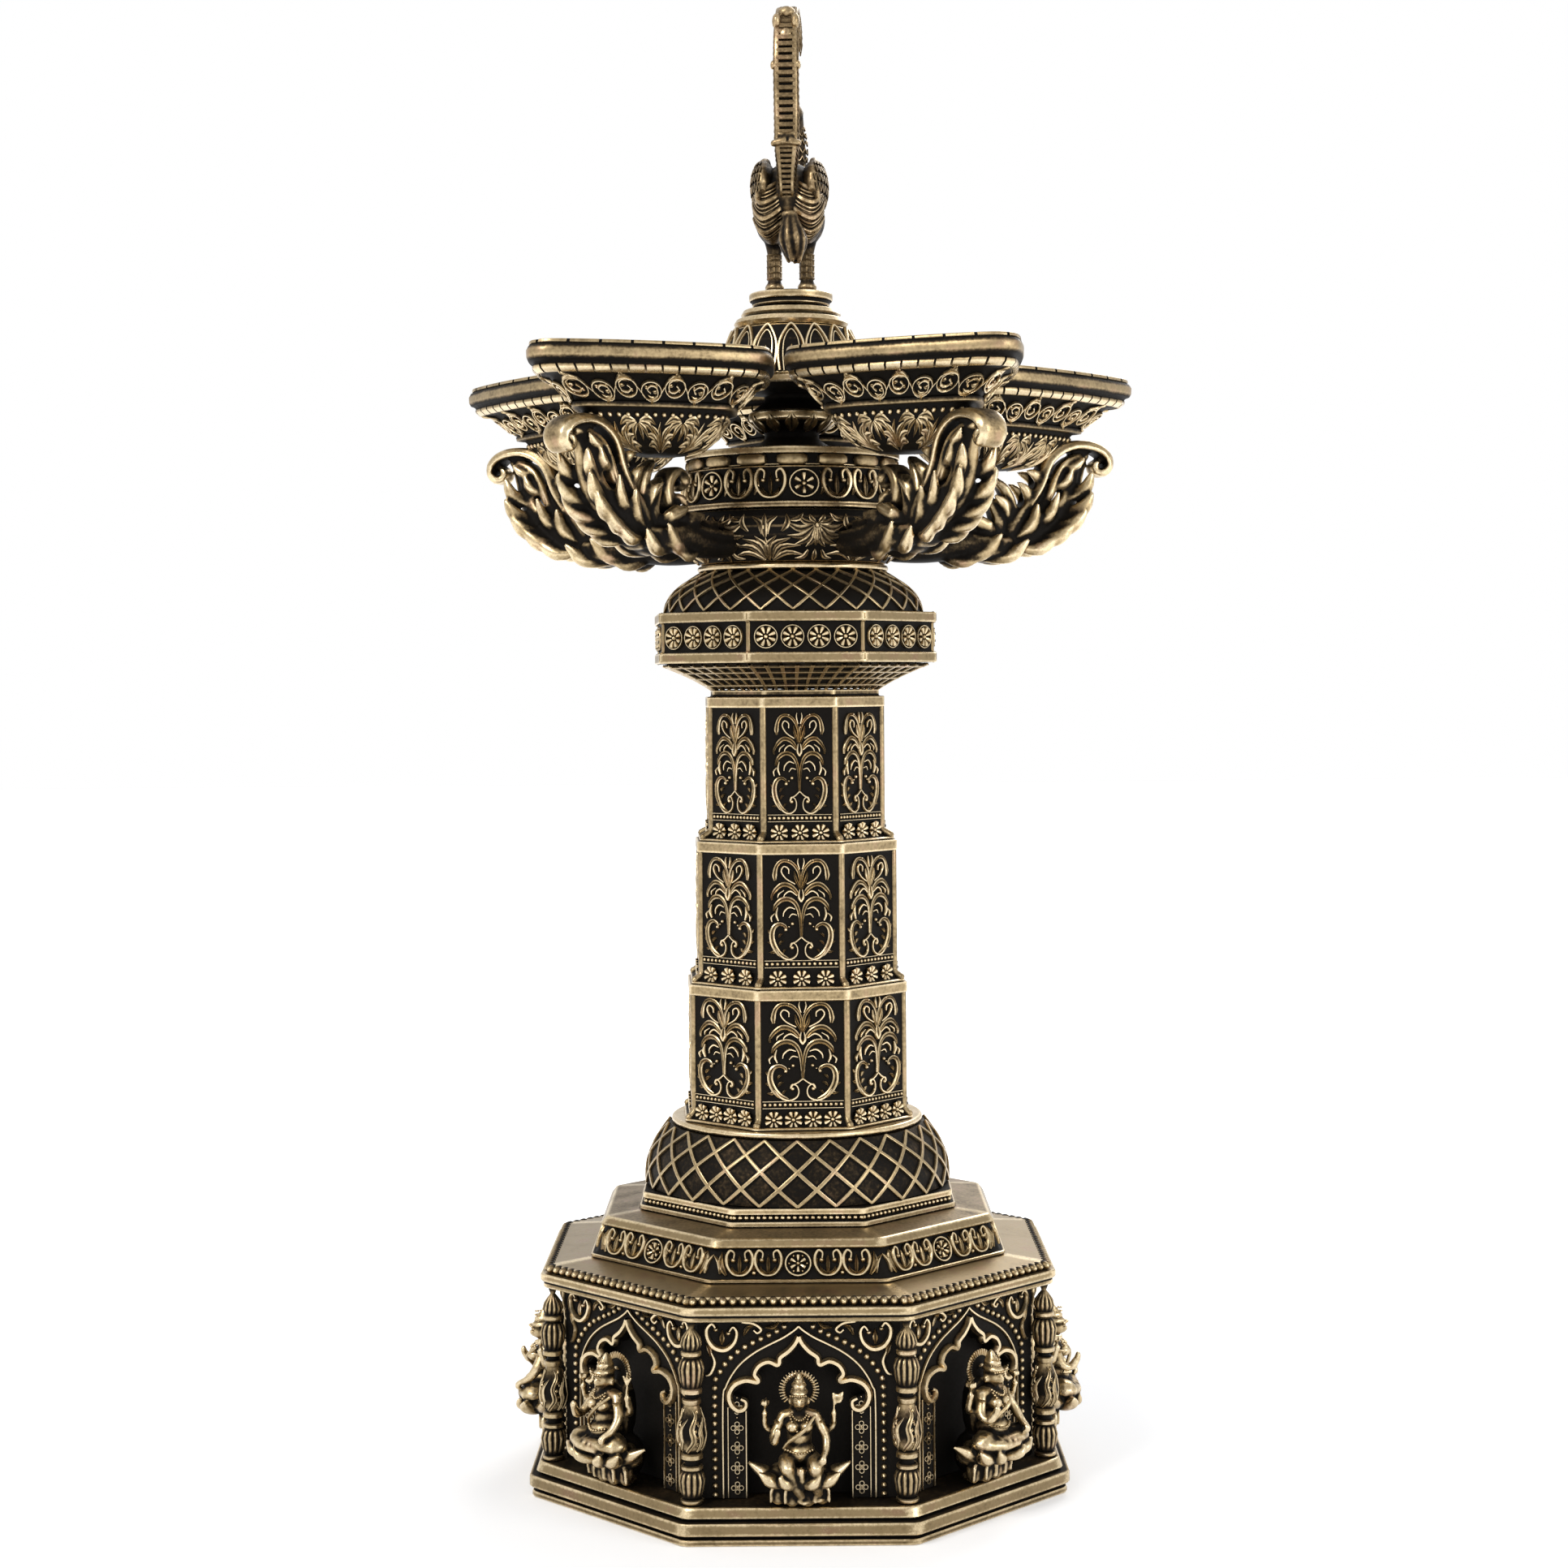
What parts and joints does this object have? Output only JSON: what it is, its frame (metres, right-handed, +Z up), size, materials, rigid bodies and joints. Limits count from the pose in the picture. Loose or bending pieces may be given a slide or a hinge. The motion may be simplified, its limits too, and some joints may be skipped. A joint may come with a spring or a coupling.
{
  "type": "brass oil lamp",
  "caption": "Tall brass oil lamp: octagonal base with niche figures, tiered column, urn with scroll brackets, leaf-shaped oil bowls and a bird finial.",
  "frame": {"origin": "on the lamp's vertical axis, in the plane of the base's underside", "axes": "+Z up, -Y towards the front of the pictured view, +X to its right"},
  "size_m": [0.2404, 0.2333, 0.5084],
  "materials": {
    "cast_brass": "cast in relief, antiqued dark in the recesses, rubbed bright on the high parts",
    "turned_brass": "filed and brushed, with a thin brown patina",
    "bowl_brass": "cast in relief outside, brushed inside",
    "sheet_brass": "rolled sheet, satin",
    "plated_steel": "zinc plated"
  },
  "bodies": {
    "base": {"base_plate": "sheet_brass", "base_foot": "turned_brass", "base_drum": "cast_brass", "base_cap": "turned_brass", "step_block": "cast_brass", "plinth_ring": "turned_brass", "lower_dome": "cast_brass", "neck_ring": "turned_brass", "clamp_plate": "plated_steel", "lakshmi_1": "cast_brass", "lakshmi_2": "cast_brass", "lakshmi_3": "cast_brass", "lakshmi_4": "cast_brass", "lakshmi_5": "cast_brass", "lakshmi_6": "cast_brass", "lakshmi_7": "cast_brass", "lakshmi_8": "cast_brass", "baluster_1": "cast_brass", "baluster_2": "cast_brass", "baluster_3": "cast_brass", "baluster_4": "cast_brass", "baluster_5": "cast_brass", "baluster_6": "cast_brass", "baluster_7": "cast_brass", "baluster_8": "cast_brass"},
    "column": {"column_lower": "cast_brass", "column_middle": "cast_brass", "column_upper": "cast_brass"},
    "capital": {"capital_funnel": "cast_brass", "capital_band": "cast_brass", "capital_dome": "cast_brass", "capital_collar": "turned_brass"},
    "head": {"urn_bowl": "cast_brass", "urn_frieze": "cast_brass", "urn_rim": "cast_brass", "stem": "turned_brass", "petal_dome": "cast_brass", "crown_rings": "turned_brass", "tie_rod": "plated_steel", "rod_washer": "plated_steel", "rod_nut": "plated_steel", "scroll_bracket_1": "cast_brass", "scroll_bracket_2": "cast_brass", "scroll_bracket_3": "cast_brass", "scroll_bracket_4": "cast_brass", "scroll_bracket_5": "cast_brass", "oil_bowl_1": "bowl_brass", "oil_bowl_2": "bowl_brass", "oil_bowl_3": "bowl_brass", "oil_bowl_4": "bowl_brass", "oil_bowl_5": "bowl_brass"},
    "finial_washer": {"bird_washer": "sheet_brass"},
    "bird": {"perch_disc": "turned_brass", "bird_stud": "plated_steel", "bird_body": "cast_brass", "wing_left": "cast_brass", "wing_right": "cast_brass", "tail_plume": "cast_brass"}
  },
  "joints": [
    {"name": "column_turn", "type": "hinge", "parent": "base", "child": "column", "pos_m": [0, 0, 0.1222], "axis": [0, 0, 1], "continuous": true},
    {"name": "capital_turn", "type": "hinge", "parent": "column", "child": "capital", "pos_m": [0, 0, 0.2702], "axis": [0, 0, 1], "continuous": true},
    {"name": "head_turn", "type": "hinge", "parent": "capital", "child": "head", "pos_m": [0, 0, 0.3135], "axis": [0, 0, 1], "continuous": true},
    {"name": "bird_turn", "type": "hinge", "parent": "head", "child": "finial_washer", "pos_m": [0, 0, 0.404], "axis": [0, 0, 1], "range_deg": [0, 1440]},
    {"name": "bird_rise", "type": "slide", "parent": "finial_washer", "child": "bird", "axis": [0, 0, 1], "range_m": [0, 0.005]}
  ],
  "couplings": [
    {"joint": "bird_rise", "follows": "bird_turn", "m_per_rad": 0.00019894}
  ]
}
